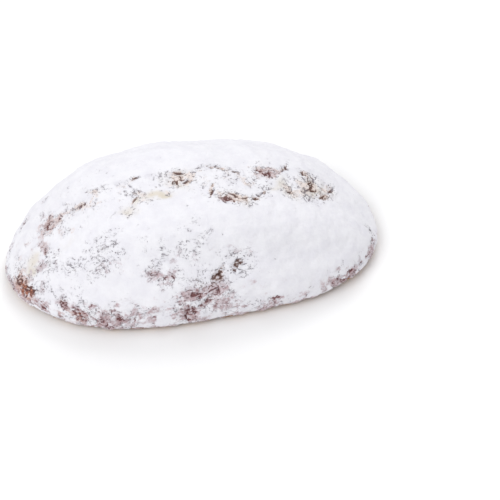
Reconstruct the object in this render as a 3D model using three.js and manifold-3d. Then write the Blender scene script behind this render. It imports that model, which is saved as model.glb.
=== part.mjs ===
// A stollen: one oval fruit loaf, baked in one piece and resting on its flat underside.
//
// Frame: millimetres, +Z up, origin at the middle of the underside. X runs along the loaf, and -Y is its
// front, where the dough was folded over and left a low shelf below the crown.
//
// The loaf is a row of cross-sections from tip to tip. Each section is a rounded arch standing on a tucked
// lower edge, and the folds are shallow hollows and swellings laid over the arch.

import * as THREE from 'three';
import { mergeVertices } from 'three/addons/utils/BufferGeometryUtils.js';
import Module from 'manifold-3d';

// Driving dimensions.
const LENGTH = 300;
const WIDTH = 165;
const HEIGHT = 83;
const RIM_HEIGHT = 9; // level at which the loaf is widest, just above the board it was baked on
const UNDERSIDE_DROP = 13; // how far the arch would sag below the rim if it had no board under it

// How width and height fade from the middle to a tip: (1 - |station| ** hold) ** fall. A larger hold keeps
// the middle full for longer, and a larger fall makes a sharper tip. The end at -X is broad and rounded, and
// the end at +X is narrow and blunt.
const BROAD_END = { plan: { hold: 2.25, fall: 0.55 }, crown: { hold: 2.2, fall: 1.03 } };
const NARROW_END = { plan: { hold: 4.4, fall: 0.53 }, crown: { hold: 2.3, fall: 0.9 } };
const TUCK = { hold: 2, fall: 0.25 };
const WIDTH_TAPER = 0.14; // the broad end is this share wider than the middle, the other as much narrower
const HEIGHT_TAPER = 0.09; // and this share higher
const TIPS_FORWARD = 1.7; // the tips lie this much nearer the front than the middle of the loaf

// Squareness of the section: 2 is an ellipse, more is a fuller arch.
const ARCH_SQUARENESS = 2.4;
const TUCK_SQUARENESS = 3;

// Folds, each at an angle round the section: 0 is the front rim, 90 the crown and 180 the back rim.
// A positive swell stands proud of the arch, and a negative one is a hollow.
const FOLDS = [
  { name: 'front shelf', angle: 17, spread: 9, swell: 2.5, from: -0.7, to: 0.65 },
  { name: 'valley above the shelf', angle: 36, spread: 9, swell: -3, from: -0.6, to: 0.6 },
  { name: 'front of the crown', angle: 58, spread: 12, swell: 1.5, from: -0.7, to: 0.8 },
  { name: 'back crease', angle: 128, spread: 9, swell: -2, from: -0.3, to: 0.75 },
  { name: 'back roll', angle: 150, spread: 12, swell: 2, from: -0.5, to: 0.7 },
];

const FOLD_RUN_OUT = 0.22; // share of the half length over which a fold runs out

// The seam of the folded dough runs along the crown and turns down to the front at the broad end.
const SEAM_Y = -13;
const SEAM_HALF_WIDTH = 13;
const SEAM_DEPTH = 3.5;
const SEAM_TURN_X = -85;
const SEAM_TURN_LENGTH = 45;
const SEAM_TURN_Y = -26;

// Slow swells that keep the loaf from being a perfect form: height of the wave, its lengths along X and
// round the section, and where it starts.
const SWELLS = [
  { height: 0.8, along: 170, turns: 2, start: 0.4 },
  { height: 0.7, along: 78, turns: 3, start: 2.1 },
  { height: 0.5, along: 47, turns: 5, start: 4.4 },
];

// Steps of the mesh.
const STATIONS = 64;
const STEPS_AROUND = 52;

const CUT_MARGIN = 20; // how far the cutting block reaches past the loaf

const CRUST = { color: 0xefedf2, roughness: 0.95, metalness: 0 };

const bell = (distance, spread) => Math.exp(-((distance / spread) ** 2));
const power = (value, exponent) => Math.sign(value) * Math.abs(value) ** exponent;
const fade = (station, { hold, fall }) => Math.max(0, 1 - Math.abs(station) ** hold) ** fall;

// 1 between from and to, fading to 0 past them.
function stretchWeight(station, from, to) {
  const enter = THREE.MathUtils.smoothstep(station, from - FOLD_RUN_OUT, from);
  const leave = 1 - THREE.MathUtils.smoothstep(station, to, to + FOLD_RUN_OUT);
  return enter * leave;
}

// Point of the plain arch for a station from -1 to 1 along the loaf and an angle round its section.
function archPoint(station, angle) {
  const end = station < 0 ? BROAD_END : NARROW_END;
  const halfWidth = (WIDTH / 2) * fade(station, end.plan) * (1 - WIDTH_TAPER * station);
  const across = -Math.cos(angle);
  const rise = Math.sin(angle);
  const squareness = rise >= 0 ? ARCH_SQUARENESS : TUCK_SQUARENESS;
  const upward = (HEIGHT - RIM_HEIGHT) * fade(station, end.crown) * (1 - HEIGHT_TAPER * station);
  const downward = UNDERSIDE_DROP * fade(station, TUCK);
  const y = halfWidth * power(across, 2 / squareness) - TIPS_FORWARD * station ** 2;
  const z = RIM_HEIGHT + (rise >= 0 ? upward : downward) * power(rise, 2 / squareness);
  return new THREE.Vector3((LENGTH / 2) * station, y, z);
}

// How far the folds, the seam and the slow swells move the surface outward.
function relief(point, station, angle) {
  const degrees = THREE.MathUtils.radToDeg(angle);
  const awayFromTip = THREE.MathUtils.smoothstep(1 - Math.abs(station), 0, 0.12);
  const aboveRim = THREE.MathUtils.smoothstep(point.z, RIM_HEIGHT / 2, RIM_HEIGHT * 2);
  let outward = 0;
  for (const fold of FOLDS) {
    const weight = stretchWeight(station, fold.from, fold.to);
    outward += fold.swell * weight * bell(degrees - fold.angle, fold.spread);
  }
  const turn = THREE.MathUtils.smoothstep(SEAM_TURN_X - point.x, 0, SEAM_TURN_LENGTH);
  const seamY = SEAM_Y + SEAM_TURN_Y * turn;
  outward -= SEAM_DEPTH * bell(point.y - seamY, SEAM_HALF_WIDTH) * stretchWeight(station, -0.7, 0.65);
  for (const swell of SWELLS) {
    const phase = (2 * Math.PI * point.x) / swell.along + swell.turns * angle + swell.start;
    outward += swell.height * Math.sin(phase);
  }
  return outward * awayFromTip * aboveRim;
}

// A closed surface from a sphere whose poles are the loaf's two tips.
function buildLoafSurface() {
  const sphere = new THREE.SphereGeometry(1, STEPS_AROUND, STATIONS);
  sphere.rotateZ(-Math.PI / 2);
  sphere.deleteAttribute('normal');
  sphere.deleteAttribute('uv');
  const geometry = mergeVertices(sphere);
  const position = geometry.attributes.position;
  const nudge = 0.02;
  for (let i = 0; i < position.count; i += 1) {
    const station = THREE.MathUtils.clamp(position.getX(i), -1, 1);
    const angle = Math.atan2(position.getZ(i), -position.getY(i));
    const point = archPoint(station, angle);
    const ahead = archPoint(station, angle + nudge);
    const behind = archPoint(station, angle - nudge);
    const outward = new THREE.Vector3(0, -(ahead.z - behind.z), ahead.y - behind.y);
    if (outward.lengthSq() > 0) {
      outward.normalize();
      point.addScaledVector(outward, relief(point, station, angle));
    }
    position.setXYZ(i, point.x, point.y, point.z);
  }
  return geometry;
}

function toSolid(wasm, geometry) {
  return new wasm.Manifold(
    new wasm.Mesh({
      numProp: 3,
      vertProperties: new Float32Array(geometry.attributes.position.array),
      triVerts: new Uint32Array(geometry.index.array),
    }),
  );
}

function toGeometry(solid) {
  const mesh = solid.getMesh();
  const geometry = new THREE.BufferGeometry();
  geometry.setAttribute('position', new THREE.BufferAttribute(mesh.vertProperties, 3));
  geometry.setIndex(new THREE.BufferAttribute(mesh.triVerts, 1));
  return geometry;
}

// The board the loaf was baked on leaves a flat underside: everything below z = 0 is cut away.
function cutFlatUnderside(wasm, geometry) {
  const depth = UNDERSIDE_DROP + CUT_MARGIN;
  const block = new THREE.BoxGeometry(LENGTH + 2 * CUT_MARGIN, WIDTH + 2 * CUT_MARGIN, depth);
  block.translate(0, 0, -depth / 2);
  block.deleteAttribute('normal');
  block.deleteAttribute('uv');
  return toGeometry(toSolid(wasm, geometry).subtract(toSolid(wasm, mergeVertices(block))));
}

// The folds move the outline a little, so the loaf is brought back to its stated size, with its middle on
// the Z axis.
function bringToSize(geometry) {
  geometry.computeBoundingBox();
  const size = geometry.boundingBox.getSize(new THREE.Vector3());
  const middle = geometry.boundingBox.getCenter(new THREE.Vector3());
  geometry.translate(-middle.x, -middle.y, 0);
  geometry.scale(LENGTH / size.x, WIDTH / size.y, HEIGHT / size.z);
}

const wasm = await Module();
wasm.setup();

const loafGeometry = cutFlatUnderside(wasm, buildLoafSurface());
bringToSize(loafGeometry);
loafGeometry.computeVertexNormals();

const loaf = new THREE.Mesh(loafGeometry, new THREE.MeshStandardMaterial(CRUST));
loaf.name = 'stollen_loaf';

const stollen = new THREE.Group();
stollen.name = 'stollen';
stollen.add(loaf);

export default stollen;
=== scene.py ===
# %% [markdown]
# # A sugared stollen
#
# A stollen is a rich fruit bread. The dough is folded over itself, baked as one long oval loaf, brushed with
# butter while it is hot, and then buried in powdered sugar. What the eye reads is the sugar: a soft, uneven,
# almost white coat that lies thick on the slopes facing up, thins out on the walls, and breaks open along the
# seam of the fold, where the brown crust looks through.
#
# This lesson builds that coat around a plain solid loaf. The steps are: load the solid, place the camera, set
# up the table and the light, turn the solid into an even skin, decide where crust shows and cut the skin
# finer there, crack the coat, raise the sugar, place the butter stains, lay out a flat map, and make one
# material that knows the difference between sugar and crust.

# %% Load the solid loaf
import itertools
import math

import bmesh
import bpy
import numpy as np
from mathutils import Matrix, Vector


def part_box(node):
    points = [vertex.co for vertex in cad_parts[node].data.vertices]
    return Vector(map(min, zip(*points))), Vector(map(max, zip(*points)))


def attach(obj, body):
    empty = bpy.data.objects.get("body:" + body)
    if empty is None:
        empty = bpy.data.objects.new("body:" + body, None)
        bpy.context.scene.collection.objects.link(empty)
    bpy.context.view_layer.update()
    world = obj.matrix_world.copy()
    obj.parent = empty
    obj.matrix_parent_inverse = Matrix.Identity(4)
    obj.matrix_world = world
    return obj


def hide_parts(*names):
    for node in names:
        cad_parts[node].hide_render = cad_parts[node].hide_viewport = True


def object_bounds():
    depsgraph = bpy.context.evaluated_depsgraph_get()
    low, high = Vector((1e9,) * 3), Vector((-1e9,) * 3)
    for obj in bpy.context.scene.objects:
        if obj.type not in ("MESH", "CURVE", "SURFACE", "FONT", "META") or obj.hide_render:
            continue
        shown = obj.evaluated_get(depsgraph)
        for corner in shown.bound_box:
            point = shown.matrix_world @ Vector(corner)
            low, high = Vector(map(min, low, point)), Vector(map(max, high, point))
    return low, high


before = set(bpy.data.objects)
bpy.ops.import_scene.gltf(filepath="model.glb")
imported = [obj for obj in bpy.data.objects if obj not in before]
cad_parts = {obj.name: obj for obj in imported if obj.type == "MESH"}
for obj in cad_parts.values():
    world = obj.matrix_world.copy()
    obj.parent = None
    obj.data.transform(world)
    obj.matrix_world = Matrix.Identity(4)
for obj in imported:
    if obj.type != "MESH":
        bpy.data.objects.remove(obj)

LOAF = "stollen_loaf"
MM = 0.001  # Blender works in metres, and a baker thinks in millimetres

solid_low, solid_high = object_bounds()
loaf_low, loaf_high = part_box(LOAF)
loaf_size = loaf_high - loaf_low
print("solid loaf, mm:", [round(side / MM) for side in loaf_size])

# %% [markdown]
# ## The camera
#
# The camera comes first, because everything else is judged through it. It looks down at the loaf from the
# front at 45 degrees, from a little to the side of the broad end. A long lens from over a metre away keeps
# the near and far sides of the loaf almost the same size, so its proportions can be trusted. The loaf isn't
# in the middle of the frame, so the camera is aimed a few centimetres to the side of it. Turning the camera
# does this without a lens shift.

# %% Place the camera
VIEW_TURN = math.radians(-7.0)
VIEW_RISE = math.radians(45.1)
VIEW_DISTANCE = 1.15  # metres
LENS = 105.2  # mm
SENSOR_WIDTH = 36
AIM_RIGHT = 0.0445  # metres from the loaf's heart to the point aimed at
AIM_DOWN = 0.0259
HEART_DROP = 5.5 * MM  # most of the loaf lies below the middle of its height

toward_loaf = Vector(
    (
        -math.sin(VIEW_TURN) * math.cos(VIEW_RISE),
        math.cos(VIEW_TURN) * math.cos(VIEW_RISE),
        -math.sin(VIEW_RISE),
    )
)
view_right = Vector((math.cos(VIEW_TURN), math.sin(VIEW_TURN), 0))
view_up = view_right.cross(toward_loaf)
loaf_heart = (loaf_low + loaf_high) / 2 - Vector((0, 0, HEART_DROP))

camera = bpy.data.objects.new("camera", bpy.data.cameras.new("camera"))
bpy.context.scene.collection.objects.link(camera)
bpy.context.scene.camera = camera
camera.data.lens = LENS
camera.data.sensor_width = SENSOR_WIDTH
camera.location = loaf_heart - toward_loaf * VIEW_DISTANCE
aim_point = loaf_heart + view_right * AIM_RIGHT - view_up * AIM_DOWN
camera.rotation_euler = (aim_point - camera.location).to_track_quat("-Z", "Y").to_euler()
print("camera at", [round(v, 3) for v in camera.location])

# %% [markdown]
# ## Table and light
#
# White sugar on a white table only works with soft light from all around: the sugar stays bright, and its
# form shows in shades that are hardly darker. A pale sky does most of the work. One large lamp from the front
# left adds the direction that brings out the lumps, and another lights the far side.

# %% Build the table
TABLE_SIZE = 6.0  # metres
TABLE_WHITE = (0.93, 0.93, 0.93, 1)

bpy.ops.mesh.primitive_plane_add(size=TABLE_SIZE, location=(0, 0, solid_low.z))
table = bpy.context.object
table.name = "table"
table_paint = bpy.data.materials.new("white_table")
table_paint.use_nodes = True
table_shader = table_paint.node_tree.nodes["Principled BSDF"]
table_shader.inputs["Base Color"].default_value = TABLE_WHITE
table_shader.inputs["Roughness"].default_value = 0.9
table_shader.inputs["Specular IOR Level"].default_value = 0.1
table.data.materials.append(table_paint)
print("table top at", round(solid_low.z / MM, 2), "mm, where the loaf rests")

# %% Build the sky and the lamps
SKY_COLOUR = (0.98, 0.985, 1.0, 1)
SKY_STRENGTH = 0.72

sky = bpy.data.worlds.new("pale_sky")
sky.use_nodes = True
sky.node_tree.nodes["Background"].inputs["Color"].default_value = SKY_COLOUR
sky.node_tree.nodes["Background"].inputs["Strength"].default_value = SKY_STRENGTH
bpy.context.scene.world = sky


def soft_lamp(name, place, size, watts):
    """A square area lamp at a place, facing the loaf."""
    light = bpy.data.lights.new(name, "AREA")
    light.size = size
    light.energy = watts
    lamp = bpy.data.objects.new(name, light)
    bpy.context.scene.collection.objects.link(lamp)
    lamp.location = place
    lamp.rotation_euler = (loaf_heart - lamp.location).to_track_quat("-Z", "Y").to_euler()
    print(name, "is", round((loaf_heart - lamp.location).length, 2), "m from the loaf")


# Places and sizes in metres.
soft_lamp("window_front_left", Vector((-0.9, -0.8, 1.3)), size=1.0, watts=12)
soft_lamp("window_back", Vector((0.6, 1.1, 1.3)), size=1.2, watts=11)
bpy.context.scene.view_settings.view_transform = "Standard"

# %% [markdown]
# ## A fine skin from the solid
#
# The solid loaf has flat facets a few millimetres wide, far too coarse for sugar. It could be subdivided, but
# the long thin triangles of its underside would subdivide badly. A voxel remesh gives even little squares all
# over instead, and many rounds of gentle smoothing rub the facets away. The squares are left rather large for
# now: smooth sugar needs no more, and the places that do are cut finer in a later step.

# %% Copy the solid
loaf_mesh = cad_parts[LOAF].data.copy()
loaf = bpy.data.objects.new("sugared_loaf", loaf_mesh)
bpy.context.scene.collection.objects.link(loaf)
bpy.context.view_layer.objects.active = loaf
for other in bpy.context.selected_objects:
    other.select_set(False)
loaf.select_set(True)
loaf_mesh.materials.clear()
print("solid:", len(loaf_mesh.vertices), "vertices,", len(loaf_mesh.polygons), "faces")

# %% Remesh and smooth
SKIN_STEP = 1.65 * MM
SMOOTH_ROUNDS = 30
SAME_VERTEX = 0.01 * MM  # vertices closer than this are joined


def apply_modifier(kind, **settings):
    """Adds a modifier to the loaf and applies it at once."""
    modifier = loaf.modifiers.new(kind.lower(), kind)
    for key, value in settings.items():
        setattr(modifier, key, value)
    bpy.ops.object.modifier_apply(modifier=modifier.name)


apply_modifier("WELD", merge_threshold=SAME_VERTEX)
apply_modifier("REMESH", mode="VOXEL", voxel_size=SKIN_STEP, use_smooth_shade=True)
apply_modifier("SMOOTH", factor=0.5, iterations=SMOOTH_ROUNDS)
print("skin:", len(loaf.data.vertices), "vertices,", len(loaf.data.polygons), "faces")


# %% Read and write the vertices
def read_points():
    """The loaf's vertices as an array, in metres."""
    flat = np.empty(len(loaf.data.vertices) * 3)
    loaf.data.vertices.foreach_get("co", flat)
    return flat.reshape(-1, 3)


def write_points(points):
    """Moves the loaf's vertices to the given places."""
    loaf.data.vertices.foreach_set("co", points.ravel())
    loaf.data.update()


def read_normals():
    """The direction that each vertex faces."""
    flat = np.empty(len(loaf.data.vertices) * 3)
    loaf.data.vertex_normals.foreach_get("vector", flat)
    return flat.reshape(-1, 3)


points = read_points()
points[:, 2] -= points[:, 2].min()
write_points(points)
print("skin is", round(float(points[:, 2].max()) / MM, 1), "mm high and stands on the table")

# %% [markdown]
# ## Noise to cook with
#
# Nothing on a loaf is regular, so every later step mixes in noise. Blender has its own noise, but a few lines
# of numpy give the same kind for all vertices at once, and the sizes can be written in millimetres. One
# function makes soft bumps of one size, and another adds finer and finer layers. A third splits space into
# irregular cells. The middles of its cells make rounded lumps of sugar, and their walls make the cracks of a
# dry coat. The last one is a smooth ramp, for every soft edge that follows.

# %% Soft bumps
FULL_SWING = 1.7  # brings the bumps to about -1...1


def shuffled(cell, shuffle):
    """A random but repeatable number from 0 to 255 for each whole-numbered place."""
    wrapped = cell & 255
    return shuffle[(shuffle[(shuffle[wrapped[:, 0]] + wrapped[:, 1]) & 255] + wrapped[:, 2]) & 255]


def soft_bumps(places, size_mm, seed):
    """Smooth noise, mostly between -1 and 1, with bumps of about the given size."""
    rng = np.random.default_rng(seed)
    shuffle = rng.permutation(256)
    leanings = rng.normal(size=(256, 3))
    leanings /= np.linalg.norm(leanings, axis=1)[:, None]
    scaled = places / (size_mm * MM)
    cell = np.floor(scaled).astype(int)
    inside = scaled - cell
    ease = inside**3 * (inside * (inside * 6 - 15) + 10)
    total = np.zeros(len(places))
    for corner in itertools.product((0, 1), repeat=3):
        push = ((inside - corner) * leanings[shuffled(cell + corner, shuffle)]).sum(1)
        total += push * np.where(corner, ease, 1 - ease).prod(1)
    return total * FULL_SWING


def layered_bumps(places, size_mm, seed, layers=3, fade=0.5):
    """Noise with finer layers laid over the first, each half the size and weaker by fade."""
    total = np.zeros(len(places))
    strength = 1.0
    for layer in range(layers):
        total += strength * soft_bumps(places, size_mm / 2**layer, seed + layer)
        strength *= fade
    return total


print("typical swing of bumps:", round(float(np.abs(soft_bumps(points, 10, 1)).mean()), 2))


# %% Irregular cells, lumps and ramps
FAR_OFF = 9.0  # in cells; no middle is this far away


def irregular_cells(places, size_mm, seed):
    """Distance to the cell's middle (in cells), distance to its wall (in mm), and a number for each cell."""
    rng = np.random.default_rng(seed)
    shuffle = rng.permutation(256)
    jitter = rng.random((256, 3))
    scaled = places / (size_mm * MM)
    cell = np.floor(scaled).astype(int)
    nearest = np.full(len(places), FAR_OFF)
    second = np.full(len(places), FAR_OFF)
    middle = np.zeros_like(places)
    neighbour = np.zeros_like(places)
    number = np.zeros(len(places))
    for step in itertools.product((-1, 0, 1), repeat=3):
        pick = shuffled(cell + step, shuffle)
        candidate = cell + step + jitter[pick]
        gap = np.linalg.norm(candidate - scaled, axis=1)
        closer = gap < nearest
        runner_up = ~closer & (gap < second)
        neighbour[closer] = middle[closer]
        neighbour[runner_up] = candidate[runner_up]
        second = np.where(closer, nearest, np.minimum(second, gap))
        middle[closer] = candidate[closer]
        number[closer] = pick[closer] / 255
        nearest = np.minimum(nearest, gap)
    spacing = np.linalg.norm(neighbour - middle, axis=1)
    to_wall = (second**2 - nearest**2) / (2 * spacing) * size_mm
    return nearest, to_wall, number


def lumps(places, size_mm, seed):
    """Rounded lumps: 1 on the middle of a lump, falling to 0 between lumps."""
    return np.clip(1 - irregular_cells(places, size_mm, seed)[0], 0, 1)


def ease_between(value, start, end):
    """0 below start, 1 above end, and a smooth ramp between them."""
    share = np.clip((value - start) / (end - start), 0, 1)
    return share * share * (3 - 2 * share)


print("half way up a ramp:", ease_between(0.5, 0, 1))

# %% [markdown]
# ## Where the crust shows
#
# Sugar slides off steep walls and is rubbed away where the loaf was handled, and it breaks open along the
# seam of the fold. A random mask alone would put bare crust anywhere, so the main places are listed: each is
# an oval on the plan of the loaf, or on its front wall, with a strength. Around them lie wider zones where
# the coat is only dusty, and noise scatters thin spots over these. Noise also frays all edges, and on the
# rest of the wall it decides alone. The result is one number for each vertex, 0 under thick sugar and 1 where
# the crust is bare, which both the shape and the colour will use.
# A few patches low on the front wall are bare crust that also carries painted shadow, where cut slices leant
# against the loaf.

# %% Place the bare patches on top
# Seen from above: x, y, half length, half width (mm), turn (degrees), strength.
PATCHES_FROM_ABOVE = [
    (-112, 6, 9, 7, 100, 1.0),  # cracked cluster near the broad end
    (-116, 17, 10, 3, 105, 0.55),
    (-101, 2, 8, 5, 40, 0.68),
    (-85, 1, 14, 5, -5, 0.74),  # where the seam starts
    (-69, 6, 8, 5, 10, 0.5),
    (-116, -15, 8, 3.5, 110, 0.95),  # the seam turning down to the front
    (-120, -30, 7, 3.5, 130, 0.7),
    (-41, 9, 6, 3, 0, 0.6),
    (-54, -5, 6, 2.5, -20, 0.6),
    (-44, -12, 5, 2.2, 45, 0.95),
    (-50, -24, 10, 6, 10, 0.45),
    (-22, -12, 3, 5, -20, 0.65),
    (-6, 1, 15, 8, -8, 0.9),  # the seam breaks open at its middle
    (-10, 6, 8, 2, 5, 0.95),
    (0, -5, 7, 2, 20, 0.9),
    (8, 5, 6, 4, 20, 0.55),
    (22, 9, 13, 2.2, 0, 0.75),
    (35, 5, 6, 2.5, -30, 0.85),
    (16, -13, 9, 2.4, 65, 0.95),
    (30, -23, 14, 7.5, -15, 1.05),  # dark hollows in front of the seam
    (47, -20, 7, 4, 40, 1.0),
    (55, -13, 7, 2.5, 60, 0.7),
    (60, 5, 11, 5, 10, 0.96),
    (76, 14, 10, 2.5, 60, 0.75),
    (96, -2, 15, 13, 60, 0.76),  # the largest cracked patch
    (104, -8, 9, 4.5, 45, 0.72),
    (76, -8, 9, 9, 60, 0.62),
    (94, 11, 8, 4, 15, 0.9),
    (109, 3, 10, 6, 55, 0.75),
    (-97, -45, 12, 7, -20, 0.48),  # dusty freckles on the front slope
    (-80, -41, 9, 5, 10, 0.45),
    (-74, -54, 10, 6, -10, 0.55),
    (-66, -45, 8, 5, 0, 0.45),
    (-14, -47, 8, 3, 0, 0.3),
    (-5, -62, 4, 3, 0, 0.5),
    (8, -73, 12, 5, 12, 0.85),
    (27, -63, 14, 2.5, 0, 0.5),
    (-130, 31, 7, 4, 60, 0.6),
    (-112, 39, 10, 3.5, 25, 0.35),
    (-138, -6, 7, 4, 90, 0.35),
]
print(len(PATCHES_FROM_ABOVE), "bare patches on top")

# %% Place the bare patches on the front wall
# Seen from the front: x, z, half length, half height (mm), turn (degrees), strength.
PATCHES_FROM_FRONT = [
    (-137, 18, 9, 8, 50, 1.5),  # the broad tip, rubbed quite bare
    (-145, 9, 6, 6, 40, 1.0),
    (-127, 15, 6, 6, 30, 0.8),
    (-108, 25, 6, 8, 10, 0.9),
    (-96, 19, 13, 9, -10, 1.05),
    (-78, 17, 9, 8, -10, 1.0),
    (-62, 9, 14, 5, 0, 0.7),
    (-54, 22, 6, 10, 15, 0.7),
    # The next six patches, x -15 to 22 mm, are bare crust that also carries painted shadow: cut slices leant
    # against the front of the loaf here and shaded it.
    (-15, 20, 8, 19, 15, 1.02),
    (-6, 38, 9, 8, 30, 1.05),
    (8, 45, 14, 6, 25, 0.9),
    (14, 24, 14, 13, 20, 0.58),
    (2, 32, 26, 7, 50, 0.68),
    (22, 49, 7, 4, 20, 0.95),
    (-32, 51, 15, 7, -5, 0.7),  # a dusty mauve patch on the slope above
]
print(len(PATCHES_FROM_FRONT), "bare patches on the front wall")

# %% Place the dusty zones
# With the same numbers. The zones along the seam have a list of their own, because butter soaked them.
SEAM_ZONES = [
    (-82, 0, 48, 15, -3, 0.5),
    (-30, -6, 50, 17, 0, 0.5),
    (40, -4, 62, 20, 0, 0.44),
]
DUSTY_FROM_ABOVE = SEAM_ZONES + [
    (-117, -25, 12, 24, 30, 0.5),
    (-76, -44, 34, 15, -8, 0.5),  # the front slope
    (-18, -60, 38, 12, -6, 0.48),
    (-6, -50, 34, 10, 0, 0.3),
    (-60, 28, 60, 12, 0, 0.22),
    (18, -70, 26, 10, 10, 0.55),
]
DUSTY_FROM_FRONT = [
    (-92, 15, 58, 19, 2, 0.85),
    (-128, 18, 22, 22, 0, 0.8),
    # This zone also darkens the wall with painted shadow from the slices that leant against it.
    (-5, 30, 34, 24, 25, 0.62),
    (60, 12, 60, 12, 8, 0.6),
]
print(len(DUSTY_FROM_ABOVE) + len(DUSTY_FROM_FRONT), "dusty zones")


# %% Measure a patch
AT_RIM = math.exp(-1)  # what is left of a patch's strength at its rim


def oval(first, second, patch):
    """A patch's full strength in its middle, AT_RIM of it at the rim, and fading beyond."""
    middle_first, middle_second, half_length, half_width, turn, strength = patch
    angle = math.radians(turn)
    dx = first / MM - middle_first
    dy = second / MM - middle_second
    lengthwise = (dx * math.cos(angle) + dy * math.sin(angle)) / half_length
    sideways = (dy * math.cos(angle) - dx * math.sin(angle)) / half_width
    return strength * np.exp(-(lengthwise**2 + sideways**2))


def seen_from_above(places, patches):
    """The strongest patch at each place, on the plan of the loaf."""
    return np.maximum.reduce([oval(places[:, 0], places[:, 1], patch) for patch in patches])


def seen_from_front(places, patches):
    """The strongest patch at each place, on the front wall."""
    return np.maximum.reduce([oval(places[:, 0], places[:, 2], patch) for patch in patches])


patched = seen_from_above(points, PATCHES_FROM_ABOVE)
print("share of the skin inside a patch from above:", round(float((patched > AT_RIM).mean()), 3))

# %% Fray the listed places
FRAYING_SIZE = 18  # mm
FRAYING = 3.0  # mm, about how far the noise carries a place


def wobble_of(points):
    """Noise in three directions at each vertex."""
    noises = [layered_bumps(points, FRAYING_SIZE, seed, layers=4, fade=0.6) for seed in (11, 21, 31)]
    return np.stack(noises, axis=1)


print("fraying carries a place up to", round(float(wobble_of(points).max()) * FRAYING, 1), "mm")

# %% Measure how bare the skin is
NOISE_TAKES_OVER = (-5 * MM, 35 * MM)  # along x; the front wall is placed by the listed patches up to here
WALL_TOP = 26  # mm, up to which noise thins the coat on the walls
WALL_TOP_SWING = 14
FOOT = 8  # mm; right above the table the coat is thin all round
FOOT_BARE = 0.6
UNDERSIDE_BARE = 0.9


def measure_bare(points, normals):
    """How bare each vertex is: 0 under thick sugar, 1 on open crust."""
    wobble = wobble_of(points)
    frayed = points + wobble * FRAYING * MM
    facing_up = normals[:, 2]
    facing_front = ease_between(-normals[:, 1], -0.1, 0.3)
    spots = layered_bumps(points, size_mm=11, seed=37, layers=4, fade=0.65)
    scattered = 0.1 + ease_between(spots, -0.7, 0.8)
    from_above = ease_between(facing_up, -0.05, 0.2) * np.maximum(
        seen_from_above(frayed, PATCHES_FROM_ABOVE) * (0.75 + 0.4 * scattered),
        scattered * seen_from_above(frayed, DUSTY_FROM_ABOVE),
    )
    from_front = facing_front * np.maximum(
        seen_from_front(frayed, PATCHES_FROM_FRONT) * (0.7 + 0.45 * scattered),
        scattered * seen_from_front(frayed, DUSTY_FROM_FRONT),
    )

    height = points[:, 2] / MM
    placed_by_hand = (1 - ease_between(points[:, 0], *NOISE_TAKES_OVER)) * facing_front
    wall_top = WALL_TOP + WALL_TOP_SWING * layered_bumps(points, size_mm=60, seed=43, layers=2)
    low_wall = 1 - ease_between(height + 7 * wobble[:, 0], 0.3 * wall_top, wall_top)
    blotches = ease_between(layered_bumps(points, size_mm=34, seed=41, layers=2), -0.6, 0.4)
    from_noise = scattered * (0.35 + 0.6 * blotches) * low_wall * (1 - placed_by_hand)

    foot = FOOT_BARE * (1 - ease_between(height + 4 * wobble[:, 1], 0.4 * FOOT, 1.3 * FOOT))
    underside = UNDERSIDE_BARE * ease_between(-facing_up, 0.25, 0.8)
    bare = np.maximum.reduce([from_above, from_front, from_noise, foot, underside])
    return np.clip(bare + 0.05 * layered_bumps(points, size_mm=22, seed=47, layers=2), 0, 1.5)


bare = measure_bare(read_points(), read_normals())
print("bare share of the loaf:", round(float((bare > 0.5).mean()), 3))

# %% [markdown]
# ## Finer squares where it matters
#
# Cracks are about a millimetre wide, and the squares of the skin are wider. Cutting every square in four
# would make a very heavy mesh, for smooth sugar that doesn't need it. So only the squares where the coat is
# thin are cut, and only on the outside that can be seen when the loaf stands on a table.

# %% Cut the thin places finer
THIN = 0.17  # how bare a vertex has to be
NEAR_TABLE = 1.0 * MM


def cut_finer(wanted):
    """Cuts every edge between two wanted vertices in half, and the squares between them in four."""
    skin = bmesh.new()
    skin.from_mesh(loaf.data)
    skin.verts.ensure_lookup_table()
    edges = [edge for edge in skin.edges if wanted[edge.verts[0].index] and wanted[edge.verts[1].index]]
    bmesh.ops.subdivide_edges(skin, edges=edges, cuts=1, use_grid_fill=True)
    skin.to_mesh(loaf.data)
    skin.free()
    loaf.data.update()


above_table = read_points()[:, 2] > NEAR_TABLE
cut_finer((bare > THIN) & above_table)
points = read_points()
normals = read_normals()
bare = measure_bare(points, normals)
wobble = wobble_of(points)
print("finer skin:", len(loaf.data.vertices), "vertices,", len(loaf.data.polygons), "faces")

# %% [markdown]
# ## Cracking the coat
#
# Dry sugar breaks like mud: into shards a few millimetres across with cracks between them. The cells from
# the noise helpers are the shards, and each has a number of its own, so that whole shards can thin to a film
# or fall off. Cells alone never give a long split, and the fold pulled the coat apart in a few. So the
# longest splits are listed as thin ovals.

# %% Break the coat into shards
SHARD_SIZE = 5.6  # mm
SMALL_SHARD_SIZE = 3.1
ALONG_THE_LOAF = (0.72, 1, 1)  # shards are longer along the loaf, the way the fold was pulled
TEAR = 0.8  # mm by which slow noise bends the edges of the shards
FINE_TEAR = 0.45  # mm by which fine noise roughens them
FINE_TEAR_SIZE = 2.6  # mm

fine_wobble = np.stack([soft_bumps(points, FINE_TEAR_SIZE, seed) for seed in (61, 62, 63)], axis=1)
torn_places = points + wobble * TEAR * MM
torn_places += fine_wobble * FINE_TEAR * MM
shard_places = torn_places * ALONG_THE_LOAF
_, to_wall, shard = irregular_cells(shard_places, SHARD_SIZE, seed=71)
_, to_small_wall, small_shard = irregular_cells(shard_places, SMALL_SHARD_SIZE, seed=72)
shard_step = shard - 0.5  # from -0.5 to 0.5, the same all over a shard
small_shard_step = small_shard - 0.5
print("median distance to the wall of a shard:", round(float(np.median(to_wall)), 2), "mm")

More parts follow.
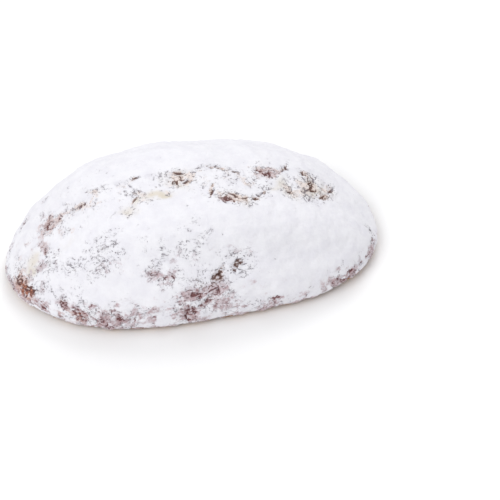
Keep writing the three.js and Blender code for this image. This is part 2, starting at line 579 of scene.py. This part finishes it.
# %% Place the longest splits
# Seen from above: x, y, half length, half width (mm), turn (degrees), strength.
SPLITS_FROM_ABOVE = [
    (-44, -12, 3, 0.9, 26, 0.95),
    (-18, -12, 3, 0.7, 43, 0.85),
    (-8, 6, 7, 0.9, -12, 1.0),  # at the middle of the seam
    (-7, -1, 3, 0.6, -49, 0.9),
    (-4, -4, 3, 0.9, 15, 1.0),
    (7, 8, 2.5, 0.7, 23, 0.9),
    (16, 8, 4, 0.5, 25, 0.8),
    (24, 9, 4, 0.5, -6, 0.8),
    (35, 5, 5, 0.9, -25, 0.95),
    (15, -16, 5, 1.3, 49, 1.0),  # down the front of the seam
    (20, -10, 3.5, 0.8, 61, 0.9),
    (22, -28, 4, 1.1, -53, 1.0),  # around the dark hollow
    (30, -20, 5, 1.2, -29, 1.0),
    (38, -22, 5, 0.6, 28, 0.9),
    (46, -21, 3, 1.2, -2, 0.95),
    (53, -15, 3, 1.0, 42, 0.95),
    (60, -10, 5, 0.6, 27, 0.85),
    (74, 9, 4, 0.6, 29, 0.9),
    (77, 15, 4, 0.6, 95, 0.9),
    (70, -16, 5, 0.7, -65, 0.9),
    (90, 6, 3.5, 0.8, -38, 0.95),  # across the largest patch
    (94, 1, 4, 0.7, -61, 0.9),
    (91, -5, 5.5, 0.8, 35, 0.95),
    (87, -16, 4.5, 0.6, -78, 0.9),
    (91, -14, 7, 0.6, 55, 0.9),
    (103, -8, 6, 0.9, 45, 0.9),
    (112, 3, 8, 0.9, 54, 1.0),
    (108, 11, 3.5, 0.7, -81, 0.9),
]

splits = seen_from_above(torn_places, SPLITS_FROM_ABOVE) * ease_between(normals[:, 2], -0.05, 0.2)
print("split share:", round(float((splits > 0.5).mean()), 4))

# %% [markdown]
# ### Cracks between shards
#
# All other cracks are bands along the walls of the cells. If every wall were open, the coat would look like a
# net, so a noise opens some stretches and leaves others closed. The bands widen where the coat is thinner.
# The small cells give small cracks between the large ones.

# %% Open the cracks
CRACK_HALF_WIDTH = 0.42  # mm in the barest places, before noise widens and narrows it
SMALL_CRACK_HALF_WIDTH = 0.15
CRACK_EDGE = 0.4  # mm from the open middle of a crack to whole sugar
OPEN_STRETCH = 7.5  # mm, about the length of an open stretch of wall
SMALL_OPEN_STRETCH = 3.6
GAPING_SIZE = 8  # mm, over which a crack gets wider and narrower
SMALL_CRACK_STRENGTH = 0.8


def crack_band(to_wall, half_width, stretch, seed):
    """1 inside the open stretches of the cell walls, which grow longer and wider as the coat thins."""
    open_here = ease_between(soft_bumps(points, stretch, seed) + 0.8 * (bare - 0.9), -0.1, 0.25)
    gaping = 0.35 + ease_between(soft_bumps(points, GAPING_SIZE, seed + 10), -0.4, 0.6)
    half = half_width * ease_between(bare, 0.1, 0.9) * gaping
    return open_here * (1 - ease_between(to_wall, half, half + CRACK_EDGE))


large_cracks = crack_band(to_wall, CRACK_HALF_WIDTH, OPEN_STRETCH, seed=81)
small_cracks = crack_band(to_small_wall, SMALL_CRACK_HALF_WIDTH, SMALL_OPEN_STRETCH, seed=82)
small_cracks *= SMALL_CRACK_STRENGTH
cracks = np.maximum.reduce([large_cracks, small_cracks, splits])
print("cracked share:", round(float((cracks > 0.5).mean()), 3))

# %% [markdown]
# ### Film and fallen shards
#
# Between the cracks the coat is often only a film, and the crust tints it. One brown for all films looks
# painted on. On a real loaf the tint depends on the place: rose on the steep walls and in a few spots on top,
# where the sugar is dry, cream along the seam, where butter soaked it, and red brown at the broad tip, which
# was toasted most. Where the coat is barest, whole shards have fallen off. Each of these is one more number
# for each vertex.

# %% Find the film and the fallen shards
# Seen from above, with the same numbers.
ROSY_FROM_ABOVE = [
    (-122, 0, 26, 50, 0, 0.75),
    (61, 5, 14, 7, 10, 0.8),
    (22, -26, 7, 5, 0, 0.8),
    (-33, -70, 17, 9, 0, 0.9),
]

# Seen from the front.
TOASTED_FROM_FRONT = [
    (-137, 19, 10, 10, 40, 1.0),
    (-102, 15, 22, 13, -5, 0.62),
]

steep = 1 - ease_between(normals[:, 2], 0.35, 0.75)
rosy = np.maximum(steep, seen_from_above(points, ROSY_FROM_ABOVE))
creamy = ease_between(seen_from_above(points, SEAM_ZONES), 0.03, 0.15)
front_half = points[:, 1] < 0
toasted = seen_from_front(points, TOASTED_FROM_FRONT) * front_half

thinned = 1.1 * bare - 0.2 + 0.6 * shard_step + 0.3 * small_shard_step
film = ease_between(thinned + 0.34 * rosy + 0.12 * creamy, 0.3, 0.85)
loose = bare + 0.45 * shard_step + 0.25 * small_shard_step
fallen = ease_between(loose + 0.25 * toasted, 1.2, 1.34)
print("film share:", round(float((film > 0.5).mean()), 3))
print("fallen share:", round(float((fallen > 0.5).mean()), 3))

# %% [markdown]
# ## Raising the sugar
#
# Now the skin gets its real shape. First the dough itself is uneven, in slow swells, and the fold ends in a
# torn lip along the seam. On that lies the sugar, a millimetre or more deep, in drifts and clots. Each shard
# sits a little higher or lower than its neighbours, cracks go down towards the crust, and where shards fell
# off, the crust is wrinkled. Moving each vertex along its normal is enough, because none of these forms
# overhangs.

# %% Shape the dough and the lip of the fold
# All in mm.
LIP_Y = 7  # the torn edge of the fold lies behind the seam
LIP_WANDER = 4.5  # how far it strays to either side
LIP_FROM, LIP_TO = -100, 100
LIP_FADE = 15  # beyond both ends
LIP_HEIGHT = 1.5
LIP_EDGE = 1.2  # half the width of the step
LIP_RUN_OUT = 9  # behind the step

x_mm, y_mm = points[:, :2].T / MM
only_x = points * (1, 0, 0)
lip_line = LIP_Y + LIP_WANDER * layered_bumps(only_x, size_mm=38, seed=95, layers=3)
behind_lip = y_mm - lip_line
lip = ease_between(behind_lip, -LIP_EDGE, LIP_EDGE) * np.exp(-np.clip(behind_lip, 0, None) / LIP_RUN_OUT)
lip *= ease_between(x_mm, LIP_FROM - LIP_FADE, LIP_FROM)
lip *= 1 - ease_between(x_mm, LIP_TO, LIP_TO + LIP_FADE)
lip *= ease_between(layered_bumps(points, size_mm=26, seed=97, layers=2), -0.5, 0.3)
lip *= ease_between(normals[:, 2], 0.3, 0.6)

swells = 0.8 * layered_bumps(points, size_mm=34, seed=101, layers=2)
swells += 0.4 * layered_bumps(points, size_mm=13, seed=111, layers=2)
dough = swells + LIP_HEIGHT * lip
print("dough rises by", round(float(dough.min()), 2), "to", round(float(dough.max()), 2), "mm")

# %% Heap the sugar and wrinkle the crust
# All in mm.
SUGAR_DEPTH = 1.5
CLOT_SIZE = 7
SMALL_CLOT_SIZE = 3.6
WRINKLE_SIZE = 6

drifts = 0.35 * layered_bumps(points, size_mm=8, seed=121, layers=2)
lumpy_here = ease_between(layered_bumps(points, size_mm=30, seed=125, layers=2), -0.5, 0.5)
clots = 0.7 * lumps(points + wobble * TEAR * MM, CLOT_SIZE, seed=131)
clots += (0.25 + 0.35 * lumpy_here) * lumps(points, SMALL_CLOT_SIZE, seed=141)
thinning = 1 - 0.45 * ease_between(bare, 0.2, 0.9)
uneven_shards = (1.4 * shard_step + 0.8 * small_shard_step) * ease_between(bare, 0.25, 0.7)
sugar_surface = SUGAR_DEPTH * thinning + drifts + clots + uneven_shards

wrinkles = np.abs(layered_bumps(points + wobble * MM, WRINKLE_SIZE, seed=151, layers=3))
crust_surface = 1.4 * wrinkles + 0.35 * small_shard_step
print("median depth of the sugar:", round(float(np.median(sugar_surface)), 2), "mm")

# %% Move the skin
CRACK_DEPTH = 0.5  # mm
DEEPER_WHERE_BARE = 0.9  # mm more
SINK = SUGAR_DEPTH + 0.4  # the coat is part of the solid's size, so the skin starts below it
BOARD_EDGE = 5 * MM  # the skin stays flat on the table and moves fully only above this height

height_mm = dough + sugar_surface * (1 - fallen) + crust_surface * fallen
height_mm -= cracks * (CRACK_DEPTH + DEEPER_WHERE_BARE * ease_between(bare, 0.2, 0.8))
height_mm -= SINK
lifted = ease_between(points[:, 2], 0, BOARD_EDGE)
moved = points + normals * (height_mm * MM * lifted)[:, None]
moved[:, 2] = np.maximum(moved[:, 2], 0)
write_points(moved)
print("skin moved by", round(float(height_mm.min()), 2), "to", round(float(height_mm.max()), 2), "mm")

# %% [markdown]
# ## Butter
#
# Where the warm butter soaked through, the sugar is damp and yellowish. There are only a few such stains, so
# they are listed ovals too.

# %% Place the butter stains
# Seen from above, with the same numbers.
BUTTER_FROM_ABOVE = [
    (-31, -13, 11, 5, 0, 1.1),
    (-128, -20, 9, 8, 60, 0.8),
    (-100, -20, 10, 5, 0, 0.25),
    (73, -7, 11, 9, 60, 0.8),
    (98, 0, 15, 12, 0, 0.65),
    (-50, -22, 12, 7, 10, 0.6),
    (-6, 0, 14, 9, 0, 0.6),
    (30, -23, 14, 8, -15, 0.5),
]

butter = seen_from_above(points + wobble * 2 * FRAYING * MM, BUTTER_FROM_ABOVE)
butter *= ease_between(normals[:, 2], 0.0, 0.3) * (0.6 + 0.4 * ease_between(wobble[:, 1], -0.5, 0.5))
print("buttered share:", round(float((butter > 0.5).mean()), 3))

# %% [markdown]
# ## Numbers for the material
#
# The material can't see these arrays. Each is kept on the skin as an attribute with a name, and the material
# will read it by that name. One more says where the loaf faces the board, because its underside carries no
# sugar: it is baked crust.

# %% Store the numbers on the skin
numbers = {
    "bare": bare,
    "cracks": cracks,
    "film": film,
    "rosy": rosy,
    "toasted": toasted,
    "creamy": creamy,
    "underside": ease_between(-normals[:, 2], 0.35, 0.85),
    "fallen": fallen,
    "butter": butter,
}
for name, values in numbers.items():
    attribute = loaf.data.attributes.new(name, "FLOAT", "POINT")
    attribute.data.foreach_set("value", values.astype(np.float32))
print("stored:", ", ".join(numbers))

# %% [markdown]
# ## A flat map of the skin
#
# A painted copy of this loaf needs a flat map, on which every place of the skin has its own spot. An
# automatic unwrap would cut a lumpy skin into many scraps. A loaf is a dome on a flat underside, so two
# pieces are enough. The dome is pressed flat around its crown like an orange skin that stretches: the
# direction on the map is the direction seen from above, and the distance is the angle down from the crown,
# seen from the middle of the underside. The underside is already flat.

# %% Unwrap the skin
DOME_MIDDLE, DOME_HALF = np.array((0.5, 0.63)), np.array((0.49, 0.36))
UNDERSIDE_MIDDLE, UNDERSIDE_SCALE = np.array((0.25, 0.13)), 1.55  # map sides per metre
CROWN_SHARE = 0.75  # under 1 gives the top more of the map and the walls less
FACING_DOWN = -0.8  # faces that point down more than this belong to the underside

plan = points[:, :2] / np.array(loaf_size[:2]) * 2
far_out = np.linalg.norm(plan, axis=1)
from_crown = 1 - np.arctan2(CROWN_SHARE * points[:, 2] / loaf_size.z, far_out) / (math.pi / 2)
on_dome = DOME_MIDDLE + DOME_HALF * plan * (from_crown / np.maximum(far_out, 1e-6))[:, None]
on_underside = UNDERSIDE_MIDDLE + UNDERSIDE_SCALE * points[:, :2]

corner_vertex = np.empty(len(loaf.data.loops), dtype=int)
loaf.data.loops.foreach_get("vertex_index", corner_vertex)
faces_down = [[face.normal.z < FACING_DOWN] * face.loop_total for face in loaf.data.polygons]
faces_down = np.array(list(itertools.chain.from_iterable(faces_down)))
corner_places = np.where(faces_down[:, None], on_underside[corner_vertex], on_dome[corner_vertex])
flat_map = loaf.data.uv_layers.new(name="OFBake")
flat_map.data.foreach_set("uv", corner_places.astype(np.float32).ravel())
print("map reaches from", corner_places.min(0).round(2), "to", corner_places.max(0).round(2))

# %% [markdown]
# ## One material for sugar and crust
#
# The loaf could have two materials, but then the border between them would follow the faces of the mesh.
# Instead one material mixes both. It starts from the numbers stored on the skin and adds finer noise than
# the mesh can hold. Each helper below builds one kind of node and hands back its output, so the recipe that
# follows can be read like the arithmetic for the skin.

# %% Start the material
sugar_and_crust = bpy.data.materials.new("sugar_and_crust")
sugar_and_crust.use_nodes = True
tree = sugar_and_crust.node_tree
shader = tree.nodes["Principled BSDF"]


def plug(node, socket, value):
    """Sets an input to a value, or links another node's output to it."""
    target = node.inputs[socket]
    if isinstance(value, bpy.types.NodeSocket):
        tree.links.new(value, target)
    else:
        target.default_value = value


def add(kind, **inputs):
    """Adds a node and plugs its inputs."""
    node = tree.nodes.new("ShaderNode" + kind)
    for key, value in inputs.items():
        plug(node, key.replace("_", " "), value)
    return node


print("empty material has", len(tree.nodes), "nodes")


# %% Nodes for sums
def math_node(operation, first, second=0.0):
    """One step of arithmetic."""
    node = add("Math")
    node.operation = operation
    plug(node, 0, first)
    plug(node, 1, second)
    return node.outputs[0]


def times(first, second):
    return math_node("MULTIPLY", first, second)


def plus(first, second):
    return math_node("ADD", first, second)


def stronger(first, second):
    return math_node("MAXIMUM", first, second)


print("sums are ready, nodes:", len(tree.nodes))


# %% Nodes for ramps and colours
FIRST_COLOUR, SECOND_COLOUR, MIXED_COLOUR = 6, 7, 2  # the colour sockets of a mix node, counted from 0


def ramp_between(value, start, end, low=0.0, high=1.0):
    """The same smooth ramp as ease_between, as a node, from low to high."""
    node = add("MapRange")
    node.interpolation_type = "SMOOTHSTEP"
    plug(node, "Value", value)
    plug(node, "From Min", start)
    plug(node, "From Max", end)
    plug(node, "To Min", low)
    plug(node, "To Max", high)
    return node.outputs["Result"]


def mix_colour(share, first, second):
    """The first colour where the share is 0, and the second where it is 1."""
    node = add("Mix")
    node.data_type = "RGBA"
    plug(node, 0, share)
    plug(node, FIRST_COLOUR, first)
    plug(node, SECOND_COLOUR, second)
    return node.outputs[MIXED_COLOUR]


print("helpers add no nodes until they are called:", len(tree.nodes))

# %% Noise in the material
PULL = (0.6, 1, 1)  # draws a noise out along the loaf, like the shards

place = add("TexCoord").outputs["Object"]
pulled_place = add("Mapping", Vector=place, Scale=PULL).outputs["Vector"]


def noise(size_mm, detail, roughness=0.55, distortion=0.0, vector=place):
    """Noise from 0 to 1, with bumps of about the given size."""
    node = add("TexNoise", Vector=vector, Scale=1 / (size_mm * MM), Detail=detail)
    plug(node, "Roughness", roughness)
    plug(node, "Distortion", distortion)
    return node.outputs["Fac"]


def swing(noise_value, strength):
    """Moves a noise from 0...1 to both sides of zero, and scales it."""
    return times(math_node("SUBTRACT", noise_value, 0.5), strength)


torn = noise(0.8, detail=3, roughness=0.6)
patchy = noise(5.0, detail=3, roughness=0.6)
dusting = noise(1.4, detail=3, roughness=0.7)
mottle = noise(2.4, detail=4, roughness=0.65, distortion=0.3)
print("shared noises made, nodes:", len(tree.nodes))

# %% [markdown]
# ### How thin the sugar is
#
# Three things darken the coat as it thins. A film of sugar lets the crust tint it, cracks open in it, and
# specks of crust poke through. The wide cracks are stored on the skin, and here they only get a torn edge.
# Finer veins are drawn by the material: a vein is the line where a noise crosses its middle value, which
# gives long curls instead of a honeycomb. The veins are drawn out along the loaf, and another noise breaks
# them into pieces.
#
# All of it is gated by the stored numbers, so freckles gather around the bare patches and thick sugar stays
# clean. On the barest places of the top the smallest marks fade again, because larger cracks have taken their
# place. A slow noise makes some marks deep and veils others.

# %% Read the stored numbers
def stored(name):
    """One of the numbers stored on the skin."""
    node = add("Attribute")
    node.attribute_name = name
    return node.outputs["Fac"]


bare_here = stored("bare")
crack_here = stored("cracks")
film_here = stored("film")
fallen_here = stored("fallen")
damp = stored("butter")
rosy_here = stored("rosy")
toasted_here = stored("toasted")
creamy_here = stored("creamy")
underside_here = stored("underside")
print("numbers read, nodes:", len(tree.nodes))

# %% Draw the veins and specks
SPECK_EDGE = (-0.01, 0.04)  # how far the speck noise passes its level, from sugar to open crust


def veins(size_mm, distortion, least_width, most_width):
    """Curling lines that widen from least to most as the coat thins."""
    curls = noise(size_mm, detail=2, roughness=0.5, distortion=distortion, vector=pulled_place)
    from_middle = math_node("ABSOLUTE", math_node("SUBTRACT", curls, 0.5))
    width = ramp_between(bare_here, 0.1, 0.9, least_width, most_width)
    return ramp_between(math_node("DIVIDE", from_middle, width), 0.35, 1.0, 1.0, 0.0)


def kept_where_barest(on_top, on_wall):
    """The share of small marks that stays where the coat is nearly gone."""
    return ramp_between(bare_here, 0.5, 0.8, 1.0, ramp_between(rosy_here, 0, 1, on_top, on_wall))


long_veins = veins(5.0, distortion=1.2, least_width=0.030, most_width=0.055)
long_veins = times(long_veins, ramp_between(noise(3.0, detail=2), 0.49, 0.56))
short_veins = veins(2.4, distortion=0.8, least_width=0.030, most_width=0.060)
short_veins = times(short_veins, ramp_between(noise(2.1, detail=2), 0.55, 0.61))
short_veins = times(short_veins, kept_where_barest(on_top=0.35, on_wall=0.9))

speck_noise = noise(1.6, detail=2, roughness=0.6, distortion=0.6)
speck_level = ramp_between(bare_here, 0.08, 0.5, 0.67, 0.65)
specks = ramp_between(math_node("SUBTRACT", speck_noise, speck_level), *SPECK_EDGE)
specks = times(specks, kept_where_barest(on_top=0.3, on_wall=0.9))

thin_here = ramp_between(plus(bare_here, swing(patchy, 0.9)), 0.16, 0.34)
small_marks = times(stronger(stronger(long_veins, short_veins), specks), thin_here)
print("small marks drawn, nodes:", len(tree.nodes))

# %% Tear the cracks and join all marks
CRACK_STRENGTH = 0.92

torn_cracks = ramp_between(plus(crack_here, swing(torn, 0.5)), 0.42, 0.68)
torn_cracks = times(torn_cracks, ramp_between(bare_here, 0.14, 0.42))
mark_depth = ramp_between(noise(3.5, detail=2), 0.35, 0.6, 0.55, 0.95)
marks = stronger(times(small_marks, mark_depth), times(torn_cracks, CRACK_STRENGTH))
print("marks joined, nodes:", len(tree.nodes))

# %% [markdown]
# ### Where the coat gives way
#
# Four more shares tell the colours where to change. The film gets grains of sugar from a fine noise, so it
# never looks painted on. Beside a crack, where the coat is thin enough, it has soaked up brown. Fallen shards
# get a torn edge like the cracks. The baked underside begins at a patchy line, and it carries no marks.

# %% Find the film, the soaked edges and the baked underside
SOAKED_STRENGTH = 0.7

grainy = plus(swing(patchy, 0.6), swing(dusting, 1.1))
film_share = ramp_between(plus(film_here, grainy), 0.05, 1.15)
beside_crack = times(ramp_between(crack_here, 0.0, 0.5), ramp_between(bare_here, 0.42, 0.7))
soaked = times(beside_crack, SOAKED_STRENGTH)
fallen_share = ramp_between(plus(fallen_here, swing(torn, 0.9)), 0.35, 0.65)
baked = ramp_between(plus(underside_here, swing(patchy, 0.9)), 0.35, 0.6)
marks = times(marks, ramp_between(baked, 0, 1, 1, 0))
print("shares found, nodes:", len(tree.nodes))

# %% [markdown]
# ### Colours
#
# Thick sugar is white with a breath of blue. A film of it is grey, but cream along the seam, where butter
# soaked it, a dusty rose on the walls, where it is dry and the crust shines through, and red brown at the
# toasted tip. A little powder has drifted over the film again. Beside a crack the soaked coat is brown.
#
# Marks are almost black on top and red brown on the walls: the crust's own brown, deepened with painted
# shade for the depth of the cracks. In faint freckles the sugar veils them, to grey or, on a rosy film, to
# rose. Fallen shards bare the crust, from dark umber to rose brown, and the rubbed tip of the loaf is
# toasted red. The underside is an even brown with some sugar stuck to it.

# %% Name the colours
# Linear red, green and blue, and 1 for solid.
SUGAR = (0.825, 0.818, 0.850, 1)
SUGAR_SHADE = (0.775, 0.765, 0.810, 1)
BUTTERED = (0.69, 0.63, 0.54, 1)
FILM_CREAM = (0.79, 0.70, 0.655, 1)
FILM_ROSE = (0.50, 0.375, 0.395, 1)
FILM_TOASTED = (0.56, 0.37, 0.32, 1)
FILM_GREY = (0.66, 0.64, 0.68, 1)
SOAKED_TOP = (0.60, 0.46, 0.40, 1)
SOAKED_WALL = (0.50, 0.31, 0.31, 1)
CRUST_DARK = (0.090, 0.042, 0.042, 1)
CRUST_ROSE = (0.36, 0.20, 0.185, 1)
CRUST_PALE = (0.54, 0.38, 0.36, 1)
TOASTED = (0.51, 0.225, 0.15, 1)
TOASTED_DARK = (0.34, 0.125, 0.08, 1)
# Marks: crust brown deepened with painted shade for the depth of the cracks.
MARK_TOP = (0.125, 0.068, 0.055, 1)
MARK_WALL = (0.16, 0.065, 0.066, 1)
MARK_VEILED = (0.26, 0.235, 0.265, 1)
MARK_ROSE = (0.22, 0.105, 0.11, 1)
BAKED_DARK = (0.23, 0.10, 0.045, 1)
BAKED_PALE = (0.48, 0.27, 0.13, 1)
print("thick sugar reflects", SUGAR[:3])

# %% Colour the crust
toasted_share = ramp_between(toasted_here, 0.35, 0.7)
crust_deep = mix_colour(toasted_share, CRUST_DARK, TOASTED_DARK)
crust_high = mix_colour(toasted_share, CRUST_ROSE, TOASTED)
crust_colour = mix_colour(ramp_between(mottle, 0.38, 0.52), crust_deep, crust_high)
crust_colour = mix_colour(ramp_between(mottle, 0.56, 0.72), crust_colour, CRUST_PALE)
print("crust coloured, nodes:", len(tree.nodes))

# %% Colour the sugar and its film
BUTTER_STRENGTH = 0.95

shaded = ramp_between(noise(11.0, detail=4), 0.34, 0.72)
sugar_colour = mix_colour(shaded, SUGAR, SUGAR_SHADE)
buttered = times(ramp_between(damp, 0.05, 0.9), BUTTER_STRENGTH)
sugar_colour = mix_colour(buttered, sugar_colour, BUTTERED)

film_colour = mix_colour(creamy_here, FILM_GREY, FILM_CREAM)
film_colour = mix_colour(rosy_here, film_colour, FILM_ROSE)
film_colour = mix_colour(toasted_share, film_colour, FILM_TOASTED)
powder = ramp_between(noise(3.2, detail=4, roughness=0.6), 0.42, 0.64)
powder = times(powder, ramp_between(rosy_here, 0, 1, 0.35, 0.75))
film_colour = mix_colour(powder, film_colour, SUGAR_SHADE)

coat_colour = mix_colour(film_share, sugar_colour, film_colour)
coat_colour = mix_colour(soaked, coat_colour, mix_colour(rosy_here, SOAKED_TOP, SOAKED_WALL))
coat_colour = mix_colour(fallen_share, coat_colour, crust_colour)
print("coat coloured, nodes:", len(tree.nodes))

# %% Colour the marks
# Open marks: crust brown deepened with painted shade of the crack's depth.
open_colour = mix_colour(rosy_here, MARK_TOP, MARK_WALL)
veiled_colour = mix_colour(times(film_share, rosy_here), MARK_VEILED, MARK_ROSE)
mark_colour = mix_colour(ramp_between(bare_here, 0.42, 0.68), veiled_colour, open_colour)
skin_colour = mix_colour(marks, coat_colour, mark_colour)
print("marks coloured, nodes:", len(tree.nodes))

# %% Colour the underside
browned = ramp_between(noise(14, detail=5, roughness=0.6), 0.35, 0.65)
pores = ramp_between(noise(2.0, detail=4, roughness=0.65), 0.56, 0.68, 0, 0.6)
stuck_sugar = ramp_between(noise(20, detail=5, roughness=0.65), 0.56, 0.74, 0, 0.45)

baked_colour = mix_colour(browned, BAKED_DARK, BAKED_PALE)
baked_colour = mix_colour(pores, baked_colour, BAKED_DARK)
baked_colour = mix_colour(stuck_sugar, baked_colour, SUGAR_SHADE)
plug(shader, "Base Color", mix_colour(baked, skin_colour, baked_colour))
print("underside coloured, nodes:", len(tree.nodes))

# %% [markdown]
# ### Roughness, glow and bumps
#
# Powder scatters light in all directions and lets a little of it travel inside, so the sugar is as rough as
# can be and has a trace of subsurface light. The crust is a little smoother from the butter. Bumps carry what
# is smaller than the mesh: grains of sugar, the broken edge of the coat, and wrinkles in the crust.

# %% Finish the shader
POWDER_ROUGHNESS = 0.97
CRUST_ROUGHNESS = 0.62
BUMP_HEIGHT = 1.0 * MM

open_crust = stronger(fallen_share, baked)
plug(shader, "Roughness", ramp_between(open_crust, 0, 1, POWDER_ROUGHNESS, CRUST_ROUGHNESS))
shader.inputs["Specular IOR Level"].default_value = 0.25
shader.inputs["Subsurface Weight"].default_value = 0.08
shader.inputs["Subsurface Radius"].default_value = (1.0, 0.95, 0.95)
shader.inputs["Subsurface Scale"].default_value = 0.8 * MM

grains = times(noise(0.55, detail=3, roughness=0.6), 0.16)
crumble = times(noise(2.2, detail=4, roughness=0.6), 0.45)
coat_edge = times(plus(fallen_share, marks), -0.45)
wrinkled_crust = times(times(mottle, fallen_share), 0.9)
relief = plus(plus(coat_edge, grains), plus(crumble, wrinkled_crust))
bump = add("Bump", Height=relief, Strength=0.9, Distance=BUMP_HEIGHT)
plug(shader, "Normal", bump.outputs["Normal"])
loaf.data.materials.append(sugar_and_crust)
print("finished material has", len(tree.nodes), "nodes")

# %% [markdown]
# ## Handing over
#
# The finished skin stands for the solid loaf and moves with it.

# %% Attach and finish
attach(loaf, "root")
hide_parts(LOAF)

print("solid, mm:", [round(side / MM, 1) for side in loaf_size])
